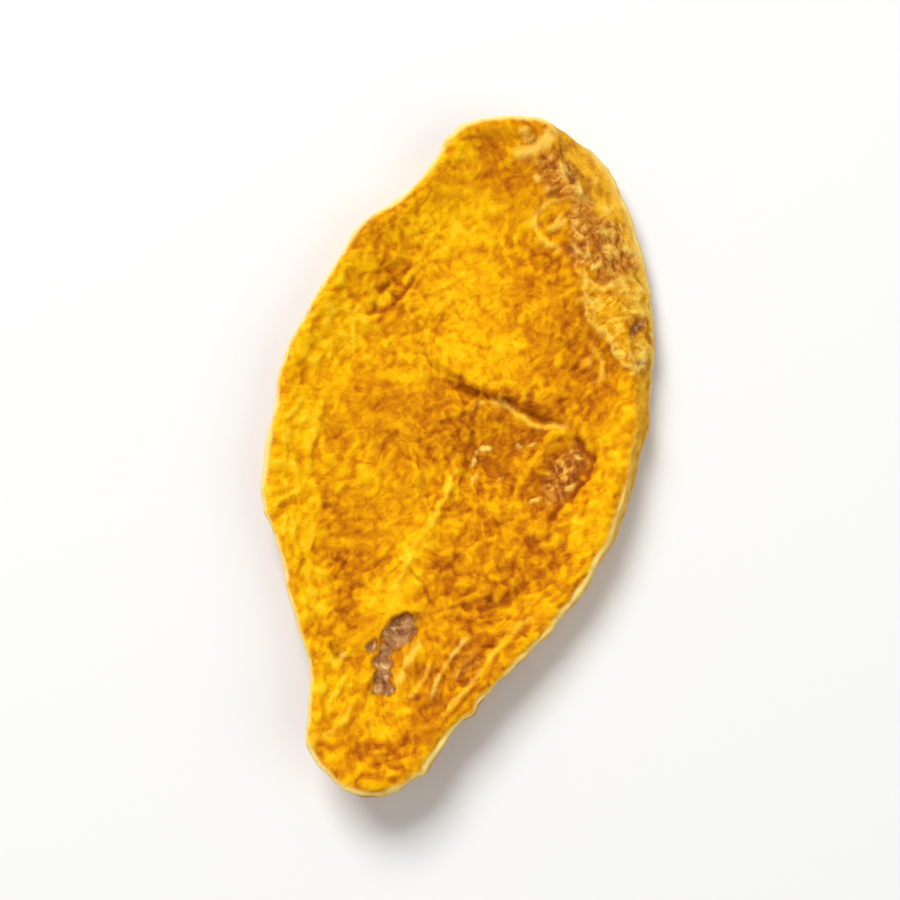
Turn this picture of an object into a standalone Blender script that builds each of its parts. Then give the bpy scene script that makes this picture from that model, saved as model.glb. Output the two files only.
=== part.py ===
"""One dried slice of turmeric root, cut obliquely through a finger of the rhizome.

The slice is a single closed solid. Its plan is a lopsided oval with a blunt tail. Both cut faces
have sunk between their rims in drying, and the whole slice has curled up towards its ends and sides.
The bark shows as a leaning wall round the edge, because the cut ran obliquely through the root.
The slice lies with its long axis along Y. The origin is on the surface below its middle.
"""

import math

import bpy
import numpy as np
from mathutils import Vector, noise
from mathutils.kdtree import KDTree

# Driving dimensions. Every length below is in millimetres, and MM turns it into metres.
MM = 0.001
LENGTH = 40.0
WIDTH = 21.1
EDGE_THICKNESS = 2.6
MIDDLE_THICKNESS = 1.75
BARK_LEAN = 2.8
BARK_LEAN_DIRECTION = math.radians(42.0)
BARK_LEAN_FALLOFF = 5
BARK_UNDERCUT = 0.30
BARK_BULGE = 0.18
END_CURL = 2.1
SIDE_CURL = 1.3
TWIST = 0.55
EDGE_WAVE = 0.45
EDGE_WAVE_STEP = 8.0
FLAT_SPOT_DEPTH = 0.16

# Plan of the slice, anticlockwise from the right of its flat top end
OUTLINE = [
    (0.4, 20.0), (-2.0, 19.5), (-4.1, 18.7), (-5.3, 17.2), (-5.8, 15.5), (-6.7, 13.6), (-8.6, 11.0),
    (-9.9, 6.7), (-10.6, 2.6), (-10.2, -1.6), (-9.4, -5.8), (-7.3, -9.1), (-5.3, -12.4), (-4.1, -14.3),
    (-3.5, -16.6), (-2.8, -18.6), (-0.4, -20.0), (1.8, -19.8), (3.4, -18.0), (4.4, -15.6), (5.8, -12.8),
    (8.2, -8.3), (10.0, -3.4), (10.6, 1.6), (10.1, 6.6), (8.9, 10.9), (6.7, 15.4), (4.0, 18.5), (2.3, 19.6),
]
SAMPLES_PER_CORNER = 40
OUTLINE_SAMPLES = 1200
BLOCK_CORNER_SAMPLE = 150
RAGGED_EDGE = 0.13
RAGGED_EDGE_STEP = 2.4

# Levels of the noise field at which each pattern is read, so that the patterns differ
UPPER_LEVEL = 1.0
WAVE_LEVEL = 3.0
LOWER_LEVEL = 5.0
RAGGED_LEVEL = 7.0

# Rims and faces
RIM_WIDTH = 3.6
LIP_HEIGHT = 0.16
LIP_INSET = 0.75
LIP_WIDTH = 0.45
EDGE_ROUNDING = 0.22
EDGE_ROUNDING_WIDTH = 0.45
RELIEF_START = 0.2
RELIEF_FULL = 1.6
CURL_CENTRE = (0.1, 1.0)
LUMPS = [(6.0, 0.13), (2.6, 0.06)]
LOWER_LUMPS = [(5.0, 0.10), (2.2, 0.05)]

# Ledge across the upper face, with a swollen lobe above it and a sunken patch below it
LEDGE = [(-3.6, 6.0), (-2.1, 4.5), (-0.4, 3.8), (2.2, 3.6), (3.8, 3.3), (6.4, 3.2)]
LEDGE_HEIGHT = 0.42
LEDGE_REACH = 4.5
LEDGE_WIDTH = 0.42
LEDGE_GROOVE_DEPTH = 0.22
LEDGE_TAPER = (0.30, 0.75)

# Ridges and furrows: a line, a height and a half width. They fade in and out along these shares of it.
RIDGE_TAPER = (0.25, 0.70)
RIDGES = [
    ([(0.2, 0.6), (0.4, -2.1), (0.2, -3.6), (-0.3, -5.5), (-0.7, -8.6)], 0.24, 0.50),
    ([(-0.7, -0.6), (-0.7, -2.8), (-1.2, -5.2)], -0.16, 0.45),
    ([(5.0, 2.9), (7.2, 3.3), (8.4, 2.3), (8.7, 0.8), (8.5, -1.2), (8.3, -3.6)], 0.28, 0.70),
    ([(5.8, 2.9), (5.0, 2.0), (4.6, 0.6), (4.2, -0.8)], 0.24, 0.40),
    ([(0.4, 19.2), (0.0, 18.4), (-1.2, 17.2), (-2.0, 16.4)], 0.15, 0.60),
    ([(3.7, -9.8), (3.1, -11.8), (2.8, -13.6), (2.3, -15.8)], 0.18, 0.40),
    ([(1.4, -10.8), (1.2, -12.4), (1.0, -14.6)], 0.16, 0.35),
    ([(4.6, -5.2), (5.4, -8.0), (4.4, -11.0)], -0.16, 0.45),
]

# Hollows: a centre, two radii, a turn in degrees and a depth. One with a negative depth is a swelling.
HOLLOW_FLATNESS = 4
HOLLOWS = [
    ((2.9, 0.6), (2.20, 2.20), 0.0, 0.40),
    ((6.5, 0.3), (1.20, 2.40), -14.0, 0.42),
    ((0.3, -11.1), (1.00, 1.25), -25.0, 0.50),
    ((-0.1, -12.9), (0.60, 0.80), 0.0, 0.34),
    ((0.2, -14.3), (0.62, 0.66), 0.0, 0.42),
    ((-2.5, -13.3), (0.50, 0.50), 0.0, 0.18),
    ((-6.1, 8.0), (0.55, 1.80), -12.0, 0.20),
    ((-4.2, -7.4), (1.60, 2.20), 30.0, 0.16),
    ((-1.5, 12.0), (3.2, 2.2), 20.0, 0.16),
    ((2.4, 14.6), (2.4, 1.50), -48.0, 0.16),
    ((5.6, 9.6), (1.6, 1.80), 0.0, -0.14),
]
LOWER_RIDGES = [
    ([(-4.5, 10.5), (-1.0, 5.0), (2.0, -2.0), (1.5, -9.0)], -0.20, 0.90),
    ([(4.5, 9.0), (5.2, 3.0), (4.0, -4.0)], -0.16, 0.90),
]

# Cells of the mesh
CELLS_ACROSS = 26
TOP_RINGS = 11
UNDER_RINGS = 8
WALL_ROWS = 5
CORE_SHARE = 0.62
RING_CROWDING = 1.3
SHARP_ANGLE = math.radians(40.0)

# Look of the flesh
FLESH_COLOUR = (0.78, 0.36, 0.015, 1.0)
FLESH_ROUGHNESS = 0.82


def clear_scene():
    for old in list(bpy.data.objects):
        bpy.data.objects.remove(old, do_unlink=True)


def smooth_step(value, low, high):
    """0 at low and 1 at high, level at both ends."""
    share = np.clip((value - low) / (high - low), 0.0, 1.0)
    return share * share * (3.0 - 2.0 * share)


def lumps(points, layers, level):
    """Gentle swelling of the surface: the sum of noise layers, each a spacing and a size."""
    total = np.zeros(len(points))
    for spacing, size in layers:
        total += size * np.array([noise.noise((x / spacing, y / spacing, level)) for x, y in points])
    return total


def closed_curve(corners, samples):
    """A smooth closed curve through the corners, as evenly spaced points."""
    corners = np.asarray(corners, float)
    before, after, later = (np.roll(corners, n, axis=0) for n in (1, -1, -2))
    share = np.linspace(0.0, 1.0, SAMPLES_PER_CORNER, endpoint=False)[None, :, None]
    a, b, c, d = (p[:, None, :] for p in (before, corners, after, later))
    dense = 0.5 * (
        2 * b + (c - a) * share + (2 * a - 5 * b + 4 * c - d) * share**2 + (3 * b - a - 3 * c + d) * share**3
    )
    dense = dense.reshape(-1, 2)
    return even_points(dense, samples)


def even_points(loop, count):
    """The closed loop again, with its points evenly spaced along it."""
    closed = np.vstack([loop, loop[:1]])
    along = np.concatenate([[0.0], np.cumsum(np.linalg.norm(np.diff(closed, axis=0), axis=1))])
    wanted = np.linspace(0.0, along[-1], count, endpoint=False)
    return np.column_stack([np.interp(wanted, along, closed[:, axis]) for axis in (0, 1)])


def outward_normals(loop):
    tangent = np.roll(loop, -1, axis=0) - np.roll(loop, 1, axis=0)
    tangent /= np.linalg.norm(tangent, axis=1, keepdims=True)
    return np.column_stack([tangent[:, 1], -tangent[:, 0]])


def slice_outline():
    """The plan with a slightly ragged edge. Its first point is where the first corner of the block points."""
    loop = closed_curve(OUTLINE, OUTLINE_SAMPLES)
    loop += outward_normals(loop) * lumps(loop, [(RAGGED_EDGE_STEP, RAGGED_EDGE)], RAGGED_LEVEL)[:, None]
    return np.roll(loop, -BLOCK_CORNER_SAMPLE, axis=0)


def leaning_edges(loop):
    """Edges of the upper and lower cut face, each drawn in on the side where the bark leans out past it.

    The lower edge is also drawn in a little where the bark doesn't lean out, because the bark dried undercut.
    """
    lean = np.array([math.cos(BARK_LEAN_DIRECTION), math.sin(BARK_LEAN_DIRECTION)])
    oval_normals = loop / np.array([WIDTH, LENGTH]) ** 2
    oval_normals /= np.linalg.norm(oval_normals, axis=1, keepdims=True)
    facing = (oval_normals @ lean)[:, None]
    leaning_out = np.clip(facing, 0.0, 1.0) ** BARK_LEAN_FALLOFF
    leaning_in = np.clip(-facing, 0.0, 1.0) ** BARK_LEAN_FALLOFF
    upper = loop - lean * BARK_LEAN * leaning_out
    lower = loop + lean * BARK_LEAN * leaning_in - oval_normals * BARK_UNDERCUT * (1.0 - leaning_out)
    return upper, lower


def edge_distance(points, edge):
    tree = KDTree(len(edge))
    for index, (x, y) in enumerate(edge):
        tree.insert((x, y, 0.0), index)
    tree.balance()
    return np.array([tree.find((x, y, 0.0))[2] for x, y in points])


def line_distance(points, line):
    """Distance of each point from a bent line, positive on its left, and how far along it lies, 0 to 1."""
    line = np.asarray(line, float)
    lengths = np.linalg.norm(np.diff(line, axis=0), axis=1)
    starts = np.concatenate([[0.0], np.cumsum(lengths)])
    nearest = np.full(len(points), np.inf)
    signed = np.zeros(len(points))
    along = np.zeros(len(points))
    for start, end, length, before in zip(line[:-1], line[1:], lengths, starts):
        direction = (end - start) / length
        offset = points - start
        reach = np.clip(offset @ direction, 0.0, length)
        away = np.linalg.norm(offset - reach[:, None] * direction, axis=1)
        side = direction[0] * offset[:, 1] - direction[1] * offset[:, 0]
        closer = away < nearest
        nearest[closer] = away[closer]
        signed[closer] = np.where(side[closer] >= 0.0, away[closer], -away[closer])
        along[closer] = (before + reach[closer]) / starts[-1]
    return signed, along


def ridge(points, line, height, half_width):
    away, along = line_distance(points, line)
    taper = smooth_step(along, 0.0, RIDGE_TAPER[0]) * (1.0 - smooth_step(along, RIDGE_TAPER[1], 1.0))
    return height * taper * np.exp(-((away / half_width) ** 2))


def hollow(points, centre, radii, turn, depth):
    angle = math.radians(turn)
    offset = points - np.array(centre)
    across = offset[:, 0] * math.cos(angle) + offset[:, 1] * math.sin(angle)
    along = offset[:, 1] * math.cos(angle) - offset[:, 0] * math.sin(angle)
    return -depth * np.exp(-((across / radii[0]) ** HOLLOW_FLATNESS) - (along / radii[1]) ** HOLLOW_FLATNESS)


def ledge(points):
    """A swollen lobe that ends at a step, with a furrow at the step's foot."""
    away, along = line_distance(points, LEDGE)
    taper = smooth_step(along, 0.0, LEDGE_TAPER[0]) * (1.0 - smooth_step(along, LEDGE_TAPER[1], 1.0))
    step = smooth_step(away, -LEDGE_WIDTH, LEDGE_WIDTH) * np.exp(-np.clip(away, 0.0, None) / LEDGE_REACH)
    furrow = np.exp(-(((away + LEDGE_WIDTH) / LEDGE_WIDTH) ** 2))
    return taper * (LEDGE_HEIGHT * step - LEDGE_GROOVE_DEPTH * furrow)


def curl(points):
    """Height of the slice's middle layer: it rises towards the ends and sides, twists and waves a little."""
    x = (points[:, 0] - CURL_CENTRE[0]) / (WIDTH / 2)
    y = (points[:, 1] - CURL_CENTRE[1]) / (LENGTH / 2)
    wave = lumps(points, [(EDGE_WAVE_STEP, EDGE_WAVE)], WAVE_LEVEL) * (x**2 + y**2)
    return END_CURL * y**2 + SIDE_CURL * x**2 + TWIST * x * y + wave


def rim_profile(distance):
    """How the surface stands at a distance from its edge: rounded over, then a thin raised lip."""
    lip = LIP_HEIGHT * np.exp(-(((distance - LIP_INSET) / LIP_WIDTH) ** 2))
    rounding = EDGE_ROUNDING * np.clip(1.0 - distance / EDGE_ROUNDING_WIDTH, 0.0, 1.0) ** 2
    return lip - rounding


def half_thickness(distance):
    sunk = smooth_step(distance, 0.0, RIM_WIDTH)
    return (EDGE_THICKNESS + (MIDDLE_THICKNESS - EDGE_THICKNESS) * sunk) / 2


def upper_height(points, edge):
    distance = edge_distance(points, edge)
    inside = smooth_step(distance, RELIEF_START, RELIEF_FULL)
    relief = lumps(points, LUMPS, UPPER_LEVEL) + ledge(points)
    relief += sum(ridge(points, *shape) for shape in RIDGES)
    relief += sum(hollow(points, *shape) for shape in HOLLOWS)
    return curl(points) + half_thickness(distance) + rim_profile(distance) + inside * relief


def lower_height(points, edge):
    """The lower face mirrors the upper one, and is pressed flat where it lay on the drying mat."""
    distance = edge_distance(points, edge)
    inside = smooth_step(distance, RELIEF_START, RELIEF_FULL)
    relief = lumps(points, LOWER_LUMPS, LOWER_LEVEL) - sum(ridge(points, *shape) for shape in LOWER_RIDGES)
    height = curl(points) - half_thickness(distance) - rim_profile(distance) + inside * relief
    return np.maximum(height, FLAT_SPOT_DEPTH - MIDDLE_THICKNESS / 2)


def core_block(corners, side):
    """A four-sided block of points between its corners, which run anticlockwise."""
    a = np.linspace(0.0, 1.0, side + 1)[:, None, None]
    b = np.linspace(0.0, 1.0, side + 1)[None, :, None]
    return (1 - a) * ((1 - b) * corners[0] + b * corners[3]) + a * ((1 - b) * corners[1] + b * corners[2])


def border(block):
    """The points round a block, anticlockwise from its first corner."""
    return np.concatenate([block[:-1, 0], block[-1, :-1], block[:0:-1, -1], block[0, :0:-1]])


def cut_face(edge, side, rings):
    """Plan points and upward cells of one cut face: rings of cells round a square block in the middle.

    Its outermost ring comes first, as points 0, 1, 2 and on.
    """
    around = 4 * side
    centre = edge.mean(axis=0)
    block = core_block(centre + CORE_SHARE * (edge[::side] - centre), side)
    share = (np.arange(rings + 1) / rings)[:, None, None] ** RING_CROWDING
    ring_points = edge + (border(block) - edge) * share
    ids = np.arange((rings + 1) * around).reshape(rings + 1, around)
    numbers = np.full((side + 1, side + 1), -1)
    for start, path in enumerate((numbers[:-1, 0], numbers[-1, :-1], numbers[:0:-1, -1], numbers[0, :0:-1])):
        path[:] = ids[-1, start * side : (start + 1) * side]
    inner = numbers < 0
    numbers[inner] = ids.size + np.arange(inner.sum())
    points = np.vstack([ring_points.reshape(-1, 2), block[inner]])

    following = np.roll(ids, -1, axis=1)
    bands = np.stack([ids[1:], ids[:-1], following[:-1], following[1:]], axis=-1).reshape(-1, 4)
    square = np.stack(
        [numbers[:-1, :-1], numbers[1:, :-1], numbers[1:, 1:], numbers[:-1, 1:]], axis=-1
    ).reshape(-1, 4)
    return points, np.vstack([bands, square])


def bark_wall(upper, lower, rows):
    """Rows of points between the two rims, bulging outwards."""
    share = np.arange(1, rows)[:, None, None] / rows
    wall = upper + (lower - upper) * share
    normals = outward_normals(upper[:, :2])
    outward = np.column_stack([normals, np.zeros(len(normals))])
    return wall + outward * (BARK_BULGE * np.sin(math.pi * share))


def stood_on_origin(vertices):
    """The vertices over the origin, lowest point at height 0, with the plan at its full length and width."""
    low, high = vertices.min(axis=0), vertices.max(axis=0)
    middle = (low + high) / 2
    plan = (vertices[:, :2] - middle[:2]) * np.array([WIDTH, LENGTH]) / (high - low)[:2]
    return np.column_stack([plan, vertices[:, 2] - low[2]])


def slice_mesh():
    """Vertices, in millimetres, and faces of the whole slice."""
    around = 4 * CELLS_ACROSS
    upper_edge, lower_edge = leaning_edges(slice_outline())
    step = np.arange(around) * OUTLINE_SAMPLES // around
    upper_plan, upper_cells = cut_face(upper_edge[step], CELLS_ACROSS, TOP_RINGS)
    lower_plan, lower_cells = cut_face(lower_edge[step], CELLS_ACROSS, UNDER_RINGS)
    upper = np.column_stack([upper_plan, upper_height(upper_plan, upper_edge)])
    lower = np.column_stack([lower_plan, lower_height(lower_plan, lower_edge)])
    wall = bark_wall(upper[:around], lower[:around], WALL_ROWS)

    wall_start = len(upper) + len(lower)
    rows = [np.arange(around)]
    rows += [wall_start + row * around + np.arange(around) for row in range(WALL_ROWS - 1)]
    rows += [len(upper) + np.arange(around)]
    rows = np.array(rows)
    following = np.roll(rows, -1, axis=1)
    wall_cells = np.stack([rows[:-1], rows[1:], following[1:], following[:-1]], axis=-1).reshape(-1, 4)
    faces = np.vstack([upper_cells, lower_cells[:, ::-1] + len(upper), wall_cells])
    vertices = np.vstack([upper, lower, wall.reshape(-1, 3)])
    return stood_on_origin(vertices), faces


def dried_flesh():
    material = bpy.data.materials.new("dried_turmeric")
    material.use_nodes = True
    shader = material.node_tree.nodes["Principled BSDF"]
    shader.inputs["Base Color"].default_value = FLESH_COLOUR
    shader.inputs["Roughness"].default_value = FLESH_ROUGHNESS
    shader.inputs["Metallic"].default_value = 0.0
    return material


def turmeric_slice():
    vertices, faces = slice_mesh()
    mesh = bpy.data.meshes.new("turmeric_slice")
    mesh.from_pydata([Vector(v) * MM for v in vertices], [], faces.tolist())
    mesh.materials.append(dried_flesh())
    mesh.shade_smooth()
    mesh.set_sharp_from_angle(angle=SHARP_ANGLE)
    mesh.validate()
    piece = bpy.data.objects.new("turmeric_slice", mesh)
    bpy.context.scene.collection.objects.link(piece)
    return piece


def main():
    clear_scene()
    turmeric_slice()


main()
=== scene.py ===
"""One dried slice of turmeric root, dressed for a close view.

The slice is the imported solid's own form at a much finer mesh, with the relief that drying leaves on it:
a net of fine ridges, wrinkles, a ledge, pits, torn flakes and lumpy bark. Lengths are in millimetres until
the vertices are written, and the axes are the part's own.
"""

import math

import bpy
import numpy as np
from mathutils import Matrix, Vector, noise
from mathutils.kdtree import KDTree


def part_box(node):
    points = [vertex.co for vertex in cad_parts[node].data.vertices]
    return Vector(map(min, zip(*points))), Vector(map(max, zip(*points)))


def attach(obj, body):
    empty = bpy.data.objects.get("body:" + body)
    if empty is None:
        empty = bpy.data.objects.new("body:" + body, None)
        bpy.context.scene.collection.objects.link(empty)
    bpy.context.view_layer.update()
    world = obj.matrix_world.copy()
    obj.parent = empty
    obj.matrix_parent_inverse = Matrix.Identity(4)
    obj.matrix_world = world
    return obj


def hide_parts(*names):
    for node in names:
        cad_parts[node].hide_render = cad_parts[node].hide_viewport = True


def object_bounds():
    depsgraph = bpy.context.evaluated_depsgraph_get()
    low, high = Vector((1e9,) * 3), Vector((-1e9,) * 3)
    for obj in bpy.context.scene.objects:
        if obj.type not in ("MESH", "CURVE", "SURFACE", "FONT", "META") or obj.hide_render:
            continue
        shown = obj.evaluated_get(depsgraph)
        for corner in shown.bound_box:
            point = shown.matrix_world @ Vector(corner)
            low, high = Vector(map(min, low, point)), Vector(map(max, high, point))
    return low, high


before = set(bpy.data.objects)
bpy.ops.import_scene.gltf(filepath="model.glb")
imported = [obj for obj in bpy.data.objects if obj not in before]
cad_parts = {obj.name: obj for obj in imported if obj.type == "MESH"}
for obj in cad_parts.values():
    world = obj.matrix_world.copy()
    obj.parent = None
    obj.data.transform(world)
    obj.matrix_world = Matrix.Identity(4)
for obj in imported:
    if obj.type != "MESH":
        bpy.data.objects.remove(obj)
cad_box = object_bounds()

MM = 0.001
CAD_SIZE = (np.array(cad_box[1]) - np.array(cad_box[0])) / MM

# Form of the slice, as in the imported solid
LENGTH = 40.0
WIDTH = 21.1
EDGE_THICKNESS = 2.6
MIDDLE_THICKNESS = 1.75
BARK_LEAN = 2.8
BARK_LEAN_DIRECTION = math.radians(42.0)
BARK_LEAN_FALLOFF = 5
BARK_UNDERCUT = 0.30
BARK_BULGE = 0.18
END_CURL = 2.1
SIDE_CURL = 1.3
TWIST = 0.55
EDGE_WAVE = 0.45
EDGE_WAVE_STEP = 8.0
FLAT_SPOT_DEPTH = 0.16
OUTLINE = [
    (0.4, 20.0), (-2.0, 19.5), (-4.1, 18.7), (-5.3, 17.2), (-5.8, 15.5), (-6.7, 13.6), (-8.6, 11.0),
    (-9.9, 6.7), (-10.6, 2.6), (-10.2, -1.6), (-9.4, -5.8), (-7.3, -9.1), (-5.3, -12.4), (-4.1, -14.3),
    (-3.5, -16.6), (-2.8, -18.6), (-0.4, -20.0), (1.8, -19.8), (3.4, -18.0), (4.4, -15.6), (5.8, -12.8),
    (8.2, -8.3), (10.0, -3.4), (10.6, 1.6), (10.1, 6.6), (8.9, 10.9), (6.7, 15.4), (4.0, 18.5), (2.3, 19.6),
]
SAMPLES_PER_CORNER = 60
OUTLINE_SAMPLES = 3040
RAGGED_EDGE = 0.13
RAGGED_EDGE_STEP = 2.4
UPPER_LEVEL = 1.0
WAVE_LEVEL = 3.0
LOWER_LEVEL = 5.0
RAGGED_LEVEL = 7.0
RIM_WIDTH = 3.6
LIP_HEIGHT = 0.16
LIP_INSET = 0.75
LIP_WIDTH = 0.45
EDGE_ROUNDING = 0.22
EDGE_ROUNDING_WIDTH = 0.45
FOLD_EXTRA_WIDTH = 1.3
FOLD_EXTRA_DEPTH = 0.05
RELIEF_START = 0.2
RELIEF_FULL = 1.6
CURL_CENTRE = (0.1, 1.0)
LUMPS = [(6.0, 0.13), (2.6, 0.06)]
LOWER_LUMPS = [(5.0, 0.10), (2.2, 0.05)]
LEDGE = [(-3.6, 6.0), (-2.1, 4.5), (-0.4, 3.8), (2.2, 3.6), (3.8, 3.3), (6.4, 3.2)]
LEDGE_HEIGHT = 0.42
LEDGE_REACH = 4.5
LEDGE_WIDTH = 0.34
LEDGE_GROOVE_DEPTH = 0.12
LEDGE_TAPER = (0.30, 0.75)
RIDGE_TAPER = (0.25, 0.70)
RIDGES = [
    ([(0.2, 0.6), (0.4, -2.1), (0.2, -3.6), (-0.3, -5.5), (-0.7, -8.6)], 0.24, 0.5),
    ([(-0.7, -0.6), (-0.7, -2.8), (-1.2, -5.2)], -0.16, 0.45),
    ([(5.0, 2.9), (7.2, 3.3), (8.4, 2.3), (8.7, 0.8), (8.5, -1.2), (8.3, -3.6)], 0.28, 0.7),
    ([(5.8, 2.9), (5.0, 2.0), (4.6, 0.6), (4.2, -0.8)], 0.24, 0.4),
    ([(0.4, 19.2), (0.0, 18.4), (-1.2, 17.2), (-2.0, 16.4)], 0.15, 0.6),
    ([(3.7, -9.8), (3.1, -11.8), (2.8, -13.6), (2.3, -15.8)], 0.18, 0.4),
    ([(1.4, -10.8), (1.2, -12.4), (1.0, -14.6)], 0.16, 0.35),
    ([(4.6, -5.2), (5.4, -8.0), (4.4, -11.0)], -0.16, 0.45),
]
HOLLOW_FLATNESS = 4
HOLLOWS = [
    ((2.9, 0.6), (2.2, 2.2), 0.0, 0.4),
    ((6.5, 0.3), (1.2, 2.4), -14.0, 0.42),
    ((0.3, -11.1), (1.0, 1.25), -25.0, 0.5),
    ((-0.1, -12.9), (0.6, 0.8), 0.0, 0.34),
    ((0.2, -14.3), (0.62, 0.66), 0.0, 0.42),
    ((-2.5, -13.3), (0.5, 0.5), 0.0, 0.18),
    ((-6.1, 8.0), (0.55, 1.8), -12.0, 0.2),
    ((-4.2, -7.4), (1.6, 2.2), 30.0, 0.16),
    ((-1.5, 12.0), (3.2, 2.2), 20.0, 0.16),
    ((2.4, 14.6), (2.4, 1.5), -48.0, 0.16),
    ((5.6, 9.6), (1.6, 1.8), 0.0, -0.14),
]
LOWER_RIDGES = [
    ([(-4.5, 10.5), (-1.0, 5.0), (2.0, -2.0), (1.5, -9.0)], -0.2, 0.9),
    ([(4.5, 9.0), (5.2, 3.0), (4.0, -4.0)], -0.16, 0.9),
]

# Cells of the fine mesh
CELLS_ALONG = 212
CELLS_ACROSS = 92
CELLS_AROUND = 2 * (CELLS_ALONG + CELLS_ACROSS)
TOP_RINGS = 50
UNDER_RINGS = 20
WALL_ROWS = 15
CORE_SHARE = 0.70
RING_CROWDING = 1.2

# Small steps in the outline: a centre, a reach and a size, and then its crumbled edge
EDGE_STEPS = [((5.3, -14.2), 0.42, 0.26), ((3.5, -18.0), 0.36, 0.24), ((-5.0, -13.3), 0.30, -0.16)]
EDGE_CRUMBLE = [(1.3, 0.06), (0.5, 0.03)]
CRUMBLE_LEVEL = 9.0

# Fine relief of both faces and of the bark: a layer of lumps has a spacing and a size
NET_CELL = 1.05
NET_RIDGE = 0.20
NET_HEIGHT = 0.026
NET_MEAN = 0.35
NET_WARP = 0.55
NET_WARP_STEP = 0.9
NET_WARP_LEVELS = (42.3, 43.6, 44.9)
STROKE_DIRECTIONS = [(32.0, 11.0), (66.0, 13.0), (112.0, 17.0)]
STROKE_LENGTH = 1.5
STROKE_WIDTH = 0.46
STROKE_WARP = 0.45
STROKE_WARP_STEP = 1.6
STROKE_WARP_LEVELS = (4.1, 5.2, 6.3)
STROKE_SORTING = 4.0
STROKE_SOFTNESS = 0.14
STROKE_HEIGHT = 0.044
PATCHES_STEP = 4.0
STRENGTH = (0.85, 0.9, 0.3, 1.15)
STRENGTH_LEVEL = 31.0
GRAIN = [(2.2, 0.05), (0.9, 0.030), (0.36, 0.016)]
GRAIN_LEVEL = 51.0
GRAIN_LOST_ON_BARK = 0.6
BARK_LUMPS = [(2.4, 0.15), (0.9, 0.08), (0.4, 0.04)]
BARK_GRAIN = np.array([1.0, 1.0, 0.55])
BARK_LEVEL = 61.0
BARK_BORDER = 0.20
MARKS_BORDER = 0.5
SEEN_BARK_LEAN = 0.03
# Spread and depth of the painted shade in the relief's hollows and the painted highlight on its ridges
CAVITY_SPREAD = 14
CAVITY_DEPTH = 0.05

# Winding lines: a spacing, a half width and a level
WORM_CRESTS = (0.80, 0.20, 81.0)
WORM_FURROWS = (0.95, 0.17, 85.0)
CREST_HEIGHT = 0.058
FURROW_DEPTH = 0.064
WORM_GAPS = (1.3, 77.0)
WORM_GAPS_BORDER = (-0.12, 0.12)

# How far the borders of shapes wander: a spacing, a size and a level
LEDGE_WOBBLE = (0.6, 0.16, 33.0)
HOLLOW_WOBBLE = (0.9, 0.35, 21.0)
CREASE_WOBBLE = (1.0, 0.14, 23.0)
WELT_WOBBLE = (0.70, 0.20, 24.0)
FLAP_WOBBLE = (1.0, 0.40, 25.0)
FLECK_WOBBLE = (0.50, 0.20, 26.0)
ZONE_WOBBLE = (1.6, 0.85, 27.0)

# Creases and welts are broken into stretches: a spacing and a level, and how whole they stay
BREAKS = (0.7, 29.0)
WHOLENESS = (0.80, 1.3, 0.15, 1.0)
WELT_LEAST = 0.4
LINE_TAPER = (0.12, 0.88)

# Flecks, pits, the flap and the stains
FLECK_HEIGHT = 0.05
FLECK_BORDER = (0.50, 1.20)
PIT_WALL = (0.70, 1.05)
PIT_GREY_BORDER = (0.75, 1.0)
PIT_SHADOW = 0.85
PIT_SHADOW_BAND = (0.94, 0.15)
FLAP_BORDER = (0.0, 0.22)
FLAP_HEIGHT = 0.10
FLAP_EDGE_BAND = (0.16, 0.14)
FLAP_EDGE_HEIGHT = 0.05
FLAP_EDGE_PALENESS = 0.60
FLAP_SHADOW = 0.45
FLAP_SHADOW_BAND = (-0.14, 0.12)
MAUVE_BORDER = (-0.15, 0.35)
MAUVE_DEPTH = 0.04
PATCH_BORDER = (-0.2, 0.5)
PATCH_BROWN = 0.75

# The painted highlight along an edge, a pale line: its width and the strength of the fainter band beyond it
FACE_HIGHLIGHT = (0.15, 0.0)
UPPER_HIGHLIGHT = (0.20, 0.55)
LOWER_HIGHLIGHT = (0.24, 0.45)
LOWER_HIGHLIGHT_LEAST = 0.45
RIPPLE_SIZE = 0.12
RIPPLES = (0.9, 71.0)
HIGHLIGHT_LEAN = (0.12, 0.40)
HIGHLIGHT_SOFTNESS = (0.10, 0.14)
HIGHLIGHT_AFTERGLOW_WIDTH = 0.8
FOLD_SHADOW = 0.12
FOLD_SHADOW_BAND = (0.10, 0.20)

# Broad tones of the places without marks of their own
UNDER_TONES = [(5.5, 1.0, 107.0), (2.1, 0.6, 109.0)]
UNDER_BRIGHT = (0.0, 1.3, 0.0, 1.0)
UNDER_BROWN = (0.0, -1.3, 0.0, 1.0)
BARK_BROWN = (1.6, -1.8, 0.4, 2.4)
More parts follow.
